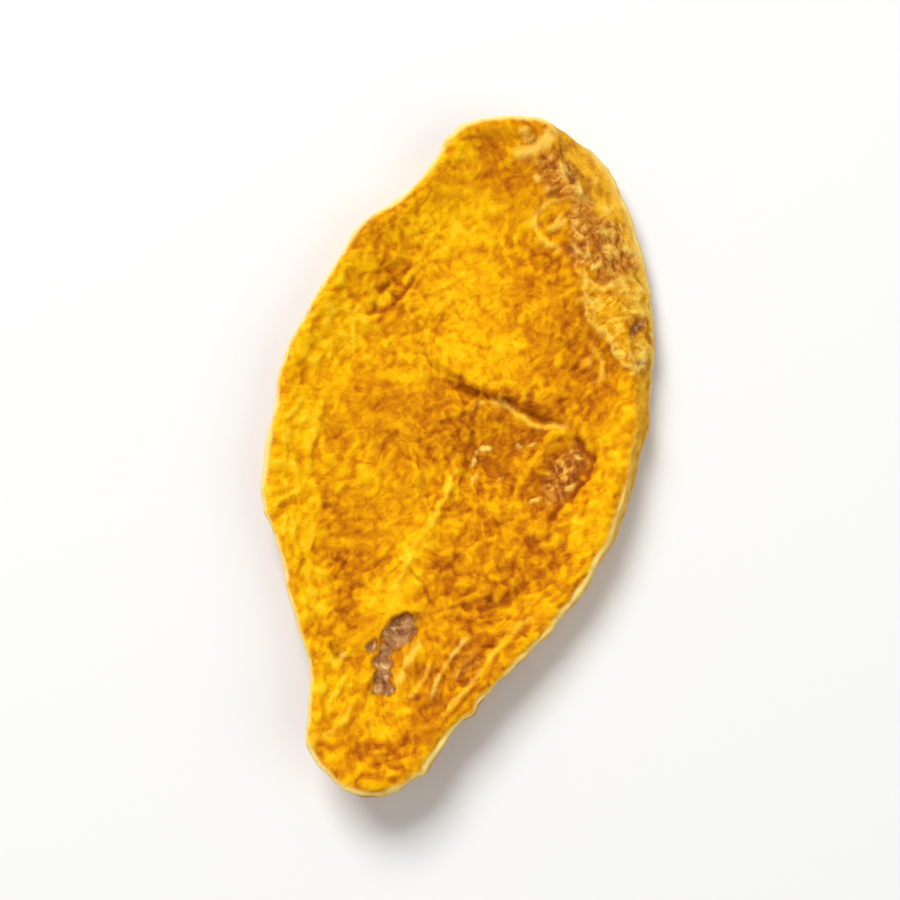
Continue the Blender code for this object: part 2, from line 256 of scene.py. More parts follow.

# Dark creases on the upper face, their darkness partly brown and partly painted shade in the crease: a line,
# a depth, a half width and a darkness
CREASES = [
    ([(-5.6, 8.4), (-4.8, 7.3), (-3.9, 6.4), (-3.4, 5.6)], 0.04, 0.12, 0.3),
    ([(-3.7, 6.0), (-2.9, 4.7), (-2.2, 4.2), (-1.4, 3.75), (-0.5, 3.5), (0.4, 3.4), (1.3, 3.5), (2.1, 3.5),
      (3.0, 3.3), (3.8, 3.1), (4.6, 3.05), (5.4, 3.1)], 0.06, 0.12, 0.5),
    ([(-0.9, 3.75), (-0.2, 3.45), (0.6, 3.45)], 0.08, 0.2, 1.1),
    ([(1.6, 3.65), (2.8, 3.45), (3.8, 3.2), (4.8, 3.1)], 0.06, 0.26, 0.8),
    ([(0.7, 3.6), (0.5, 2.4), (0.9, 1.1), (0.7, 0.1), (1.0, -0.7), (1.2, -1.9)], 0.05, 0.17, 0.85),
    ([(6.2, 2.9), (7.2, 2.1), (7.8, 1.5), (7.6, 0.6), (7.1, -0.8), (6.5, -1.9), (6.4, -2.8)],
     0.12, 0.19, 1.1),
    ([(4.0, 9.9), (5.0, 9.0), (5.8, 8.2), (6.7, 7.6), (7.1, 6.9), (7.2, 5.4)], 0.06, 0.13, 0.42),
    ([(5.8, 5.0), (6.3, 4.3), (6.9, 3.6)], 0.06, 0.11, 0.6),
    ([(6.3, 5.3), (7.0, 4.4), (7.6, 3.7)], 0.06, 0.11, 0.6),
    ([(6.9, 5.4), (7.3, 4.8), (8.0, 4.1)], 0.05, 0.1, 0.45),
    ([(-0.3, -0.6), (0.0, -2.1), (-0.2, -3.4), (-0.7, -5.6)], 0.06, 0.14, 0.36),
    ([(-0.4, -7.2), (0.7, -8.2), (1.6, -9.0)], 0.06, 0.11, 0.58),
    ([(-4.4, -8.2), (-3.2, -8.8), (-2.5, -8.9), (-2.1, -7.8)], 0.05, 0.18, 0.34),
    ([(3.4, -9.6), (2.7, -11.2), (2.5, -12.0), (2.3, -13.2)], 0.06, 0.13, 0.5),
    ([(2.6, -13.8), (2.4, -15.4), (1.9, -17.0)], 0.05, 0.13, 0.3),
    ([(6.9, -8.4), (5.9, -10.4), (5.2, -12.3), (4.5, -14.0), (3.7, -15.6)], 0.06, 0.14, 0.5),
    ([(3.6, -10.9), (3.3, -12.6), (2.7, -14.3), (2.0, -15.5)], 0.05, 0.14, 0.5),
    ([(-3.5, -12.5), (-3.0, -13.1), (-2.4, -13.3), (-2.0, -12.9)], 0.06, 0.16, 0.75),
    ([(2.6, -16.4), (1.8, -17.4), (0.8, -18.0)], 0.04, 0.12, 0.4),
    ([(-2.2, -17.8), (-1.4, -16.9), (-0.4, -16.6), (0.4, -17.0)], 0.04, 0.12, 0.35),
    ([(-5.2, 9.9), (-6.0, 8.6), (-6.6, 7.5), (-6.6, 6.1)], 0.07, 0.16, 1.15),
    ([(-4.9, 9.3), (-5.3, 8.0), (-5.9, 6.9), (-6.5, 6.2)], 0.06, 0.14, 1.0),
    ([(5.2, -5.2), (5.8, -6.4), (5.0, -7.6), (3.9, -8.6)], 0.06, 0.2, 0.48),
    ([(6.7, -3.0), (6.3, -4.2), (5.6, -5.0)], 0.06, 0.17, 0.44),
    ([(2.2, -5.4), (1.6, -6.8), (2.2, -8.6)], 0.05, 0.16, 0.38),
    ([(2.2, 17.8), (3.2, 16.8), (3.9, 15.4), (4.6, 14.6), (4.9, 13.3), (5.6, 12.1)], 0.05, 0.14, 0.6),
    ([(7.3, 11.9), (6.7, 12.4), (7.0, 13.2), (7.5, 13.1)], 0.05, 0.2, 0.55),
    ([(8.0, 10.5), (7.9, 9.6), (8.0, 9.0)], 0.08, 0.2, 0.8),
    ([(8.5, 10.5), (8.7, 9.5), (9.3, 9.2)], 0.06, 0.14, 0.7),
    ([(4.5, 10.0), (5.1, 9.2), (6.0, 8.4), (6.9, 7.3), (7.3, 6.3)], 0.05, 0.12, 0.55),
    ([(0.7, 15.8), (0.8, 15.0), (0.4, 14.0)], 0.04, 0.12, 0.45),
    ([(1.0, 14.2), (1.5, 13.7), (2.1, 13.4)], 0.04, 0.1, 0.5),
    ([(2.7, 14.4), (3.4, 14.2), (4.4, 13.5), (4.5, 12.8)], 0.04, 0.1, 0.55),
    ([(5.0, 14.7), (5.8, 14.1), (5.7, 13.5)], 0.04, 0.1, 0.45),
    ([(-2.0, 11.9), (-0.8, 10.9), (0.5, 10.2)], 0.03, 0.12, 0.25),
    ([(1.2, 9.9), (1.7, 10.8), (2.4, 11.2)], 0.03, 0.12, 0.3),
    ([(1.9, 8.2), (2.7, 7.8), (3.3, 8.1), (3.6, 9.1)], 0.04, 0.12, 0.35),
    ([(4.2, 8.2), (4.7, 7.5), (6.0, 6.3)], 0.04, 0.12, 0.35),
]

# Raised welts: a line, a height, a half width, how far they pale towards cream and how far they brighten
WELTS = [
    ([(0.4, 2.2), (0.6, 2.9), (0.9, 3.2), (1.6, 3.35), (2.3, 3.3), (2.8, 3.0), (3.6, 2.8), (4.3, 2.75),
      (5.2, 2.9), (6.2, 3.0)], 0.1, 0.15, 0.45, 1.0),
    ([(1.9, 3.35), (2.3, 3.3), (2.7, 3.1)], 0.03, 0.16, 0.9, 0.0),
    ([(5.9, 3.0), (5.0, 2.0), (4.7, 1.1), (4.5, 0.3), (4.0, -1.0)], 0.08, 0.24, 0.0, 0.9),
    ([(0.2, 0.2), (0.4, -2.1), (0.2, -3.4), (0.0, -4.5), (-0.4, -5.5), (-0.6, -7.0), (-0.9, -9.4)],
     0.06, 0.18, 0.08, 1.0),
    ([(1.5, -11.0), (1.1, -12.0), (0.9, -13.0), (0.8, -14.2)], 0.07, 0.15, 0.65, 0.5),
    ([(3.9, -10.0), (3.1, -12.0), (2.8, -14.2)], 0.07, 0.13, 0.8, 0.5),
    ([(0.5, 19.8), (0.2, 18.8), (-0.5, 17.9), (-1.6, 17.2)], 0.05, 0.34, 0.75, 0.6),
    ([(0.4, 14.4), (1.4, 13.3), (2.8, 12.7)], 0.05, 0.15, 0.3, 0.8),
    ([(-3.0, -18.2), (-1.7, -17.1), (-1.1, -15.6)], 0.05, 0.15, 0.2, 0.8),
    ([(3.7, -14.9), (4.4, -13.4), (5.1, -11.8), (5.7, -10.1)], 0.05, 0.14, 0.3, 0.7),
    ([(2.2, -12.0), (2.1, -13.2), (1.6, -14.4)], 0.05, 0.13, 0.25, 0.6),
    ([(7.0, -7.8), (5.8, -9.9), (4.8, -12.4)], 0.06, 0.18, 0.15, 0.6),
    ([(2.1, 15.6), (1.1, 15.1), (0.7, 14.2), (1.1, 13.5), (1.9, 13.0), (2.7, 12.9)], 0.05, 0.12, 0.5, 0.6),
    ([(2.5, 16.7), (3.1, 16.2), (3.4, 15.8)], 0.05, 0.14, 0.95, 0.3),
    ([(1.1, 17.3), (2.0, 17.2)], 0.05, 0.13, 0.85, 0.3),
    ([(1.8, 13.7), (2.0, 14.5), (2.0, 14.9)], 0.04, 0.12, 0.55, 0.5),
    ([(3.0, 13.4), (3.7, 12.9), (4.3, 12.9), (3.8, 13.6), (3.2, 14.0)], 0.04, 0.11, 0.6, 0.3),
    ([(4.7, 14.8), (5.5, 14.3), (5.2, 13.5), (5.8, 13.2)], 0.04, 0.11, 0.55, 0.3),
    ([(4.7, 12.2), (5.1, 12.7)], 0.05, 0.13, 0.9, 0.3),
    ([(6.2, 12.1), (7.0, 11.5), (8.0, 10.9), (8.4, 10.4)], 0.06, 0.14, 0.85, 0.5),
    ([(4.3, 11.4), (5.0, 10.5), (5.6, 9.6), (5.7, 8.9)], 0.05, 0.12, 0.65, 0.7),
    ([(4.3, 16.0), (4.8, 16.0), (4.9, 16.5)], 0.04, 0.12, 0.75, 0.3),
    ([(6.0, 14.3), (6.6, 14.1), (7.1, 14.3)], 0.04, 0.12, 0.7, 0.3),
    ([(8.8, 8.5), (8.8, 7.8), (9.2, 7.3)], 0.05, 0.13, 0.95, 0.3),
    ([(8.9, 8.9), (8.5, 7.7), (8.0, 8.1)], 0.05, 0.12, 0.8, 0.3),
    ([(5.6, 8.1), (6.6, 7.2), (7.0, 6.2), (6.4, 5.9)], 0.04, 0.12, 0.3, 0.5),
    ([(5.7, 7.2), (6.3, 6.7)], 0.04, 0.12, 0.35, 0.4),
]

# Cream flecks: a centre, half its length, half its width, its direction in degrees and its paleness
FLECKS = [
    ((1.5, 17.3), 0.6, 0.18, -48.0, 0.75), ((0.2, 16.5), 0.26, 0.2, 0.0, 0.8),
    ((2.7, 16.5), 0.66, 0.17, -62.0, 0.85), ((2.1, 14.2), 0.66, 0.24, 40.0, 0.45),
    ((3.5, 14.3), 0.34, 0.14, 70.0, 0.6), ((4.8, 12.4), 0.38, 0.18, 35.0, 0.85),
    ((4.7, 14.5), 0.28, 0.2, 10.0, 0.8), ((4.2, 13.2), 0.56, 0.11, -60.0, 0.55),
    ((5.7, 13.7), 0.44, 0.12, -55.0, 0.6), ((1.0, 16.0), 0.38, 0.11, 30.0, 0.45),
    ((2.9, 15.2), 0.34, 0.11, 60.0, 0.5), ((5.2, 11.2), 0.24, 0.16, 60.0, 0.6),
    ((4.5, 16.0), 0.34, 0.15, -10.0, 0.75), ((7.6, 12.0), 0.46, 0.22, 70.0, 0.8),
    ((6.8, 11.5), 0.4, 0.16, 20.0, 0.6), ((1.7, 0.6), 0.4, 0.19, 30.0, 1.0),
    ((1.3, -0.3), 0.42, 0.13, 75.0, 0.75), ((1.6, -1.3), 0.3, 0.12, 80.0, 0.45),
    ((3.5, 1.3), 0.22, 0.14, -50.0, 0.6), ((4.3, 1.6), 0.3, 0.13, 50.0, 0.6),
    ((3.0, -0.9), 0.34, 0.12, 50.0, 0.4), ((7.0, 1.6), 0.24, 0.16, 0.0, 0.85),
    ((7.0, -0.2), 0.36, 0.15, 60.0, 0.65), ((5.3, -1.5), 0.46, 0.14, 45.0, 0.7),
    ((-2.6, -13.2), 0.26, 0.18, 30.0, 0.6), ((6.2, 1.0), 0.34, 0.11, 65.0, 0.55),
    ((6.0, -0.6), 0.32, 0.1, 50.0, 0.5), ((8.7, 7.3), 0.54, 0.24, 60.0, 1.0),
    ((9.3, 8.6), 0.4, 0.2, 75.0, 0.9), ((-0.1, -12.4), 0.26, 0.12, 50.0, 0.8),
    ((0.2, -14.2), 0.26, 0.2, 20.0, 0.6), ((0.9, -13.4), 0.24, 0.18, 30.0, 0.75),
    ((2.9, -13.6), 0.26, 0.14, 60.0, 0.85), ((5.6, 15.2), 0.3, 0.16, -50.0, 0.55),
    ((6.4, 14.2), 0.4, 0.15, -55.0, 0.7), ((7.0, 12.9), 0.24, 0.18, 10.0, 0.5),
    ((0.1, 18.7), 0.8, 0.42, 84.0, 0.75), ((-1.2, 18.8), 0.3, 0.2, 10.0, 0.5),
    ((8.3, 10.9), 0.46, 0.18, -65.0, 0.6), ((3.4, 17.4), 0.3, 0.18, -40.0, 0.5),
    ((-1.0, 18.4), 0.42, 0.16, 15.0, 0.6),
]

# Pits: a centre, two radii, a turn in degrees and the extra depth at their floor
PITS = [
    ((0.1, -10.9), (0.84, 1.32), -24.0, 0.15), ((-0.35, -12.2), (0.44, 0.5), 0.0, 0.12),
    ((-0.3, -12.9), (0.6, 0.56), 10.0, 0.14), ((-0.1, -13.6), (0.46, 0.5), 0.0, 0.12),
    ((0.1, -14.2), (0.64, 0.58), 0.0, 0.15), ((-1.15, -12.1), (0.3, 0.34), 0.0, 0.14),
    ((8.1, 9.6), (0.28, 0.8), -22.0, 0.16), ((8.8, 7.6), (0.22, 0.26), 0.0, 0.1),
]

# Borders of places on the upper face
FLAP = [
    (3.9, 12.0), (4.4, 11.0), (4.5, 10.0), (5.5, 8.9), (6.3, 8.8), (6.8, 8.1), (7.7, 7.4), (8.8, 7.0),
    (9.2, 7.3), (9.4, 8.9), (9.0, 10.3), (8.4, 12.2), (7.4, 12.6), (6.2, 12.1), (5.4, 11.2),
]
MAUVE = [
    [(-0.1, 17.4), (0.6, 18.3), (2.0, 17.9), (3.2, 16.8), (4.1, 15.7), (5.2, 15.3), (6.3, 14.6),
     (7.3, 13.6), (7.4, 12.6), (6.6, 12.4), (6.3, 11.4), (5.3, 11.3), (4.6, 12.0), (3.7, 12.2),
     (2.8, 13.0), (2.7, 14.4), (2.2, 15.4), (1.2, 15.5), (0.2, 16.1)],
    [(6.4, 2.6), (7.2, 2.2), (7.7, 1.4), (7.4, 0.2), (6.8, -1.2), (6.0, -1.8), (5.2, -0.6), (5.6, 1.2)],
    [(3.6, -12.4), (4.0, -11.0), (4.7, -10.8), (4.6, -11.8), (4.0, -12.6)],
]
PATCH = [
    (0.6, 2.6), (1.4, 3.1), (3.0, 2.7), (5.4, 2.7), (6.4, 2.4), (7.4, 1.6), (7.4, -0.2), (6.8, -2.2),
    (6.0, -3.0), (4.4, -1.8), (3.2, -2.2), (1.4, -1.8), (0.9, 0.2),
]

# Places that are brighter or browner than the rest: a centre, two radii and a strength
BRIGHT = [
    ((-3.9, 12.4), (3.0, 3.0), 0.75), ((-1.7, 8.9), (2.8, 3.0), 0.55), ((-0.2, 6.0), (2.6, 1.8), 0.8),
    ((-8.3, 4.4), (1.9, 4.0), 0.85), ((-8.8, -2.6), (1.9, 4.0), 1.0), ((7.7, 2.9), (1.2, 1.2), 0.8),
    ((8.8, 1.4), (1.0, 1.8), 0.6), ((8.7, -2.4), (1.2, 2.2), 0.65), ((8.8, 4.4), (1.0, 1.8), 0.6),
    ((-0.5, -6.6), (1.2, 2.6), 0.9), ((-0.8, -9.3), (1.3, 1.2), 1.0), ((-2.7, -15.2), (1.2, 2.4), 1.15),
    ((0.7, -16.0), (1.3, 1.2), 0.45), ((7.3, -8.6), (0.9, 2.4), 0.35), ((-7.0, -7.0), (1.1, 2.2), 1.0),
    ((-5.3, -10.4), (1.0, 2.2), 1.1),
    ((-3.8, 4.6), (2.0, 2.4), 0.4), ((6.4, 10.0), (1.2, 1.0), 0.4), ((-4.7, 16.6), (0.9, 1.2), 0.5),
    ((-4.6, -2.6), (1.6, 2.0), 0.35), ((5.6, 16.6), (2.0, 1.6), 0.6), ((8.2, 13.0), (1.2, 2.4), 0.6),
]
BROWN = [
    ((5.6, 6.0), (1.7, 2.6), 0.65), ((3.9, 8.6), (1.5, 2.4), 0.5), ((2.4, 11.4), (1.7, 1.6), 0.5),
    ((-1.8, 16.2), (1.6, 1.2), 0.45), ((2.0, 0.2), (1.4, 1.8), 1.0), ((3.2, -0.6), (1.4, 1.2), 0.9),
    ((2.6, 2.0), (2.2, 1.0), 0.9), ((6.8, 0.8), (1.2, 2.0), 1.1), ((6.2, -2.2), (1.1, 1.2), 1.0),
    ((-6.0, 7.7), (1.0, 1.7), 0.45), ((-5.4, -5.6), (1.3, 1.4), 0.4), ((-3.4, -8.2), (1.4, 1.5), 0.75),
    ((-2.4, -10.0), (0.9, 1.3), 0.5), ((1.6, -7.0), (1.2, 1.6), 0.6), ((5.4, -6.2), (1.4, 1.6), 0.8),
    ((3.8, -8.6), (2.0, 1.7), 0.75), ((4.0, -11.0), (1.6, 1.8), 0.75), ((3.0, -13.4), (1.4, 1.8), 0.65),
    ((2.6, -16.0), (1.1, 1.8), 0.6), ((-3.2, 17.6), (1.4, 0.7), 0.5), ((6.6, -4.0), (1.6, 1.1), 0.7),
    ((3.6, -4.2), (2.0, 1.2), 0.45), ((-2.6, -13.4), (0.6, 0.6), 0.6), ((1.2, -18.2), (1.6, 1.0), 0.5),
    ((-0.1, -12.9), (0.8, 1.5), 0.5), ((3.0, 3.6), (2.6, 0.7), 1.0), ((-4.0, 1.2), (2.2, 1.6), 0.35),
    ((-1.0, 1.6), (2.2, 2.2), 0.7), ((-0.4, 17.8), (1.6, 0.8), 0.8), ((1.6, 17.0), (1.4, 0.8), 0.8),
]

# Patterns of the material: a scale per millimetre, detail, roughness and distortion
BROAD = (0.35, 2.0)
MOTTLE = (1.3, 4.0, 0.65, 0.6)
FINE_GRAIN = (5.5, 4.0, 0.7)
POWDER = (18.0, 2.0, 0.6)
WORM_PLACES = (1.05, 1.0)
LIGHT_WORMS = (1.15, 1.0, 0.5, 0.8)
DARK_WORMS = (1.05, 1.0, 0.5, 0.8)
SLANTING_PLACES = (0.30, 1.0)
CROSSWISE_PLACES = (0.22, 1.0)

# Drawn-out patterns: a direction in degrees, a length and a width
LENGTHWISE = (62.0, 1.30, 0.34)
SLANTING = (28.0, 1.10, 0.34)
CROSSWISE = (118.0, 0.95, 0.32)
FIBRE_WARP = (1.6, 0.65)

# Colours as they look on screen, each after its place on a scale from 0 to 1
FLESH_COLOURS = [
    (0.0, (120, 58, 8)), (0.22, (178, 96, 8)), (0.42, (214, 134, 6)),
    (0.58, (236, 163, 4)), (0.76, (253, 190, 5)), (1.0, (255, 212, 46)),
]
BARK_COLOURS = [
    (0.10, (150, 86, 20)), (0.36, (204, 134, 26)), (0.56, (236, 170, 34)), (0.84, (252, 196, 48)),
]
MAUVE_COLOURS = [
    (0.25, (142, 76, 24)), (0.45, (190, 114, 38)), (0.60, (220, 150, 54)), (0.80, (250, 196, 90)),
]
GREY_COLOURS = [
    (0.22, (120, 76, 44)), (0.45, (172, 122, 74)), (0.64, (212, 166, 106)), (0.86, (238, 204, 146)),
]
FLAP_COLOURS = [(0.25, (190, 114, 18)), (0.48, (234, 168, 30)), (0.78, (255, 218, 96))]
PALE_COLOURS = ((246, 186, 40), (255, 230, 124))
# Dark brown of the creases, partly painted shade, also used for the painted shadows of the pits, the flap and
# the fold
CREASE_BROWN_AND_SHADE_COLOUR = (142, 62, 8)
# Painted highlight: the pale line along the edges
EDGE_HIGHLIGHT_COLOUR = (255, 225, 128)

# Floor, lights and camera, in metres and degrees, with the lens and its sensor in millimetres
FLOOR_REACH = 1.5
FLOOR_COLOUR = (0.86, 0.86, 0.85, 1.0)
FLOOR_ROUGHNESS = 0.9
KEY_LIGHT = ((-0.24, 0.22, 0.42), 0.26, 2.6)
FILL_LIGHT = ((0.40, -0.10, 0.45), 0.45, 0.8)
SKY_STRENGTH = 0.32
CAMERA_ELEVATION = 80.0
CAMERA_ROLL = 16.5
CAMERA_LENS = 85.0
SENSOR = 36.0
FRAME_MM = 51.0
CLIP_NEAR_SHARE = 0.01
CLIP_FAR_SHARE = 100


def smooth_step(value, low, high):
    """0 at low and 1 at high, level at both ends."""
    share = np.clip((value - low) / (high - low), 0.0, 1.0)
    return share * share * (3.0 - 2.0 * share)


def swinging(pattern, mean, swing, least, most):
    """A mean and its swing with a pattern, kept between the least and the most."""
    return np.clip(mean + swing * pattern, least, most)


def tapered(along, start, end):
    """1 along the middle of a line, falling to 0 at its ends."""
    return smooth_step(along, 0.0, start) * (1.0 - smooth_step(along, end, 1.0))


def band(distance, place, width):
    """1 at one distance, fading out to both sides."""
    return np.exp(-(((distance - place) / width) ** 2))


def noise_at(places, spacing, level):
    """Smooth noise over the plan or the surface, about -1 to 1. Another level gives another pattern."""
    scaled = np.zeros((len(places), 3))
    scaled[:, : places.shape[1]] = places / spacing
    scaled[:, 2] += level
    return np.array([noise.noise(place) for place in scaled])


def lumps(places, layers, level):
    """Layers of smooth noise, each with its spacing and size."""
    return sum(size * noise_at(places, spacing, level) for spacing, size in layers)


def curved(a, b, c, d, parts):
    """Points on smooth curves from each point of b to its fellow in c, with a before and d after them."""
    share = np.linspace(0.0, 1.0, parts, endpoint=False)[None, :, None]
    a, b, c, d = (corners[:, None, :] for corners in (a, b, c, d))
    dense = 0.5 * (
        2 * b + (c - a) * share + (2 * a - 5 * b + 4 * c - d) * share**2 + (3 * b - a - 3 * c + d) * share**3
    )
    return dense.reshape(-1, 2)


def closed_curve(corners, samples):
    """A smooth closed curve through the corners, as evenly spaced points."""
    corners = np.asarray(corners, float)
    before, after, later = (np.roll(corners, n, axis=0) for n in (1, -1, -2))
    return even_points(curved(before, corners, after, later, SAMPLES_PER_CORNER), samples)


def even_points(loop, count):
    closed = np.vstack([loop, loop[:1]])
    along = np.concatenate([[0.0], np.cumsum(np.linalg.norm(np.diff(closed, axis=0), axis=1))])
    wanted = np.linspace(0.0, along[-1], count, endpoint=False)
    return np.column_stack([np.interp(wanted, along, closed[:, axis]) for axis in (0, 1)])


def outward_normals(loop):
    tangent = np.roll(loop, -1, axis=0) - np.roll(loop, 1, axis=0)
    tangent /= np.linalg.norm(tangent, axis=1, keepdims=True)
    return np.column_stack([tangent[:, 1], -tangent[:, 0]])


def slice_outline():
    """The plan with its ragged, crumbled edge, from the point that the block's first corner points to."""
    loop = closed_curve(OUTLINE, OUTLINE_SAMPLES)
    normals = outward_normals(loop)
    ragged = lumps(loop, [(RAGGED_EDGE_STEP, RAGGED_EDGE)], RAGGED_LEVEL)
    ragged = ragged + lumps(loop, EDGE_CRUMBLE, CRUMBLE_LEVEL)
    for centre, reach, size in EDGE_STEPS:
        ragged += size * np.exp(-(((loop - centre) ** 2).sum(axis=1) / reach**2))
    loop += normals * ragged[:, None]
    return np.roll(loop, -round(OUTLINE_SAMPLES * CELLS_ACROSS / CELLS_AROUND / 2), axis=0)


def leaning_edges(loop):
    """Edges of the upper and lower cut face, each drawn in on the side where the bark leans out past it.

    The third value is how far the bark leans out at each point, 0 to 1.
    """
    lean = np.array([math.cos(BARK_LEAN_DIRECTION), math.sin(BARK_LEAN_DIRECTION)])
    oval_normals = loop / np.array([WIDTH, LENGTH]) ** 2
    oval_normals /= np.linalg.norm(oval_normals, axis=1, keepdims=True)
    facing = (oval_normals @ lean)[:, None]
    leaning_out = np.clip(facing, 0.0, 1.0) ** BARK_LEAN_FALLOFF
    leaning_in = np.clip(-facing, 0.0, 1.0) ** BARK_LEAN_FALLOFF
    upper = loop - lean * BARK_LEAN * leaning_out
    lower = loop + lean * BARK_LEAN * leaning_in - oval_normals * BARK_UNDERCUT * (1.0 - leaning_out)
    return upper, lower, leaning_out[:, 0]


def nearest_on(points, edge):
    """Which point of the edge is nearest to each of the points, and how far away it is."""
    tree = KDTree(len(edge))
    for index, (x, y) in enumerate(edge):
        tree.insert((x, y, 0.0), index)
    tree.balance()
    found = [tree.find((x, y, 0.0)) for x, y in points]
    return np.array([index for _, index, _ in found]), np.array([away for _, _, away in found])


def line_distance(points, line):
    """Distance of each point from a bent line, positive on its left, and how far along it lies, 0 to 1."""
    line = np.asarray(line, float)
    lengths = np.linalg.norm(np.diff(line, axis=0), axis=1)
    starts = np.concatenate([[0.0], np.cumsum(lengths)])
    nearest = np.full(len(points), np.inf)
    signed = np.zeros(len(points))
    along = np.zeros(len(points))
    for start, end, length, before in zip(line[:-1], line[1:], lengths, starts):
        direction = (end - start) / length
        offset = points - start
        reach = np.clip(offset @ direction, 0.0, length)
        away = np.linalg.norm(offset - reach[:, None] * direction, axis=1)
        side = direction[0] * offset[:, 1] - direction[1] * offset[:, 0]
        closer = away < nearest
        nearest[closer] = away[closer]
        signed[closer] = np.where(side[closer] >= 0.0, away[closer], -away[closer])
        along[closer] = (before + reach[closer]) / starts[-1]
    return signed, along


def smooth_line(line, parts=8):
    """A bent line as a smooth one through the same points."""
    line = np.asarray(line, float)
    ends = np.vstack([2 * line[0] - line[1], line, 2 * line[-1] - line[-2]])
    neighbours = (ends[n : n + len(line) - 1] for n in range(4))
    return np.vstack([curved(*neighbours, parts), line[-1:]])


def turned(points, centre, degrees):
    """Places of the points along two axes through a centre, turned anticlockwise."""
    angle = math.radians(degrees)
    offset = points - np.array(centre)
    first = offset[:, 0] * math.cos(angle) + offset[:, 1] * math.sin(angle)
    second = offset[:, 1] * math.cos(angle) - offset[:, 0] * math.sin(angle)
    return first, second


def ridge(points, line, height, half_width):
    away, along = line_distance(points, line)
    return height * tapered(along, *RIDGE_TAPER) * band(away, 0.0, half_width)


def hollow(points, centre, radii, turn, depth):
    across, along = turned(points, centre, turn)
    return -depth * np.exp(-((across / radii[0]) ** HOLLOW_FLATNESS) - (along / radii[1]) ** HOLLOW_FLATNESS)


def ledge(points):
    """A swollen lobe that ends at a step, with a furrow at the step's foot."""
    away, along = line_distance(points, smooth_line(LEDGE))
    step = smooth_step(away, -LEDGE_WIDTH, LEDGE_WIDTH) * np.exp(-np.clip(away, 0.0, None) / LEDGE_REACH)
    furrow = band(away, -LEDGE_WIDTH, LEDGE_WIDTH)
    return tapered(along, *LEDGE_TAPER) * (LEDGE_HEIGHT * step - LEDGE_GROOVE_DEPTH * furrow)


def curl(points):
    """Height of the slice's middle layer: it rises towards the ends and sides, twists and waves a little."""
    x = (points[:, 0] - CURL_CENTRE[0]) / (WIDTH / 2)
    y = (points[:, 1] - CURL_CENTRE[1]) / (LENGTH / 2)
    wave = lumps(points, [(EDGE_WAVE_STEP, EDGE_WAVE)], WAVE_LEVEL) * (x**2 + y**2)
    return END_CURL * y**2 + SIDE_CURL * x**2 + TWIST * x * y + wave


def rim_profile(distance, leaning=0.0):
    """The lip and the rounding of a rim. Where the bark leans out, a softer fold takes the lip's place."""
    lip = (1.0 - leaning) * LIP_HEIGHT * band(distance, LIP_INSET, LIP_WIDTH)
    width = EDGE_ROUNDING_WIDTH + FOLD_EXTRA_WIDTH * leaning
    depth = EDGE_ROUNDING + FOLD_EXTRA_DEPTH * leaning
    return lip - depth * np.clip(1.0 - distance / width, 0.0, 1.0) ** 2


def half_thickness(distance):
    sunk = smooth_step(distance, 0.0, RIM_WIDTH)
    return (EDGE_THICKNESS + (MIDDLE_THICKNESS - EDGE_THICKNESS) * sunk) / 2


def wobbled(points, spacing, size, level):
    """The points moved about a little, so that a shape read at them gets a ragged border."""
    shift = [lumps(points, [(spacing, size), (spacing / 2.7, size / 2)], level + n * 0.37) for n in (0, 1)]
    return points + np.column_stack(shift)


def inside_distance(points, border):
    """Distance from a closed border, positive inside it."""
    border = np.asarray(border, float)
    closed = np.vstack([border, border[:1]])
    away = np.abs(line_distance(points, closed)[0])
    crossed = np.zeros(len(points), bool)
    x, y = points.T
    for (ax, ay), (bx, by) in zip(closed[:-1], closed[1:]):
        spans = (ay > y) != (by > y)
        at = ax + (y - ay) * (bx - ax) / (by - ay if by != ay else 1.0)
        crossed ^= spans & (x < at)
    return np.where(crossed, away, -away)


def upper_height(points, edge, leaning):
    """Height of the upper face at the points, and their distance from its edge."""
    nearest, distance = nearest_on(points, edge)
    inside = smooth_step(distance, RELIEF_START, RELIEF_FULL)
    relief = lumps(points, LUMPS, UPPER_LEVEL) + ledge(wobbled(points, *LEDGE_WOBBLE))
    relief += sum(ridge(points, *shape) for shape in RIDGES)
    rough_border = wobbled(points, *HOLLOW_WOBBLE)
    relief += sum(hollow(rough_border, *shape) for shape in HOLLOWS)
    rim = rim_profile(distance, leaning[nearest])
    return curl(points) + half_thickness(distance) + rim + inside * relief, distance


def lower_height(points, edge):
    """Height of the lower face at the points, and their distance from its edge."""
    distance = nearest_on(points, edge)[1]
    inside = smooth_step(distance, RELIEF_START, RELIEF_FULL)
    relief = lumps(points, LOWER_LUMPS, LOWER_LEVEL) - sum(ridge(points, *shape) for shape in LOWER_RIDGES)
    height = curl(points) - half_thickness(distance) - rim_profile(distance) + inside * relief
    return height, distance


def core_block(corners):
    """A four-sided block of points between its corners, which run anticlockwise."""
    a = np.linspace(0.0, 1.0, CELLS_ALONG + 1)[:, None, None]
    b = np.linspace(0.0, 1.0, CELLS_ACROSS + 1)[None, :, None]
    return (1 - a) * ((1 - b) * corners[0] + b * corners[3]) + a * ((1 - b) * corners[1] + b * corners[2])


def sides_of(block):
    """The four sides round a block, anticlockwise from its first corner."""
    return block[:-1, 0], block[-1, :-1], block[:0:-1, -1], block[0, :0:-1]


